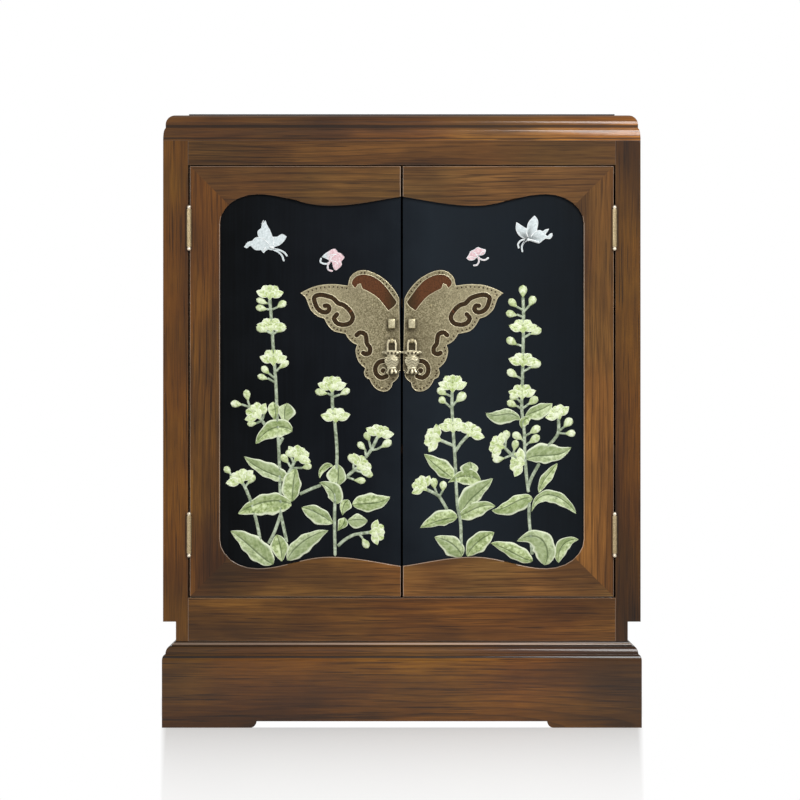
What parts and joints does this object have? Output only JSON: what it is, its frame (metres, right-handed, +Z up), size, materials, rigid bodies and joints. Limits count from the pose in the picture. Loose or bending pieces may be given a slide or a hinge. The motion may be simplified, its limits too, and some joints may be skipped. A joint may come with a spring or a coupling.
{
  "type": "chinese lacquer cabinet",
  "caption": "Upright cabinet with hinged lacquered doors, stone flower and butterfly inlay, a butterfly lock plate with drop pulls, inner shelves and a moulded base.",
  "frame": {"origin": "centre of the bounding box at the underside of the feet", "axes": "+Z up, -Y towards the front with the doors, +X to the right of someone who faces the front"},
  "size_m": [0.782, 0.382, 1.003],
  "materials": {
    "walnut": "figured walnut-brown wood, satin varnish",
    "inner_wood": "plain brown wood, matt",
    "black_lacquer": "blue-black lacquer, semi-gloss",
    "jade": "polished pale green soapstone",
    "pale_jade": "polished cream-green soapstone",
    "white_stone": "polished white stone, the small ones tinted pink",
    "plate_brass": "grey-gold aged brass with brown patina in the sunk bands",
    "bright_brass": "worn pale brass"
  },
  "bodies": {
    "cabinet": {"top_frame_front": "walnut", "top_frame_left": "walnut", "top_frame_right": "walnut", "top_frame_back": "inner_wood", "top_panel": "black_lacquer", "post_front_left": "walnut", "post_front_right": "walnut", "post_back_left": "walnut", "post_back_right": "walnut", "front_top_rail": "walnut", "front_bottom_rail": "walnut", "side_top_rail_left": "walnut", "side_top_rail_right": "walnut", "side_bottom_rail_left": "walnut", "side_bottom_rail_right": "walnut", "side_panel_left": "walnut", "side_panel_right": "walnut", "back_top_rail": "inner_wood", "back_bottom_rail": "inner_wood", "back_panel": "inner_wood", "floor_board": "inner_wood", "shelves": "inner_wood", "shelf_cleats": "inner_wood", "door_stop": "inner_wood", "base_front": "walnut", "base_left": "walnut", "base_right": "walnut", "base_back": "inner_wood", "base_blocks": "inner_wood", "hinge_post_leaves": "bright_brass", "hinge_pins": "bright_brass", "hinge_screws_posts": "bright_brass"},
    "left_door": {"door_stile_left": "walnut", "door_top_rail_left": "walnut", "door_bottom_rail_left": "walnut", "door_panel_left": "black_lacquer", "foliage_left": "jade", "blossoms_left": "pale_jade", "butterflies_left": "white_stone", "lock_plate_left": "plate_brass", "plate_nails_left": "bright_brass", "lock_staple_left": "bright_brass", "pull_eye_left": "bright_brass", "hinge_door_leaves_left": "bright_brass", "hinge_screws_left_door": "bright_brass"},
    "right_door": {"door_stile_right": "walnut", "door_top_rail_right": "walnut", "door_bottom_rail_right": "walnut", "door_panel_right": "black_lacquer", "foliage_right": "jade", "blossoms_right": "pale_jade", "butterflies_right": "white_stone", "lock_plate_right": "plate_brass", "plate_nails_right": "bright_brass", "lock_staple_right": "bright_brass", "pull_eye_right": "bright_brass", "hinge_door_leaves_right": "bright_brass", "hinge_screws_right_door": "bright_brass"},
    "left_pull": {"pull_left": "bright_brass"},
    "right_pull": {"pull_right": "bright_brass"}
  },
  "joints": [
    {"name": "left_door_hinge", "type": "hinge", "parent": "cabinet", "child": "left_door", "pos_m": [-0.3475, -0.173, 0.5645], "axis": [0, 0, -1], "range_deg": [0, 180]},
    {"name": "right_door_hinge", "type": "hinge", "parent": "cabinet", "child": "right_door", "pos_m": [0.3475, -0.173, 0.5645], "axis": [0, 0, 1], "range_deg": [0, 180]},
    {"name": "left_pull_swing", "type": "hinge", "parent": "left_door", "child": "left_pull", "pos_m": [-0.0165, -0.1695, 0.631], "axis": [-1, 0, 0], "range_deg": [0, 150]},
    {"name": "right_pull_swing", "type": "hinge", "parent": "right_door", "child": "right_pull", "pos_m": [0.0165, -0.1695, 0.631], "axis": [-1, 0, 0], "range_deg": [0, 150]}
  ]
}
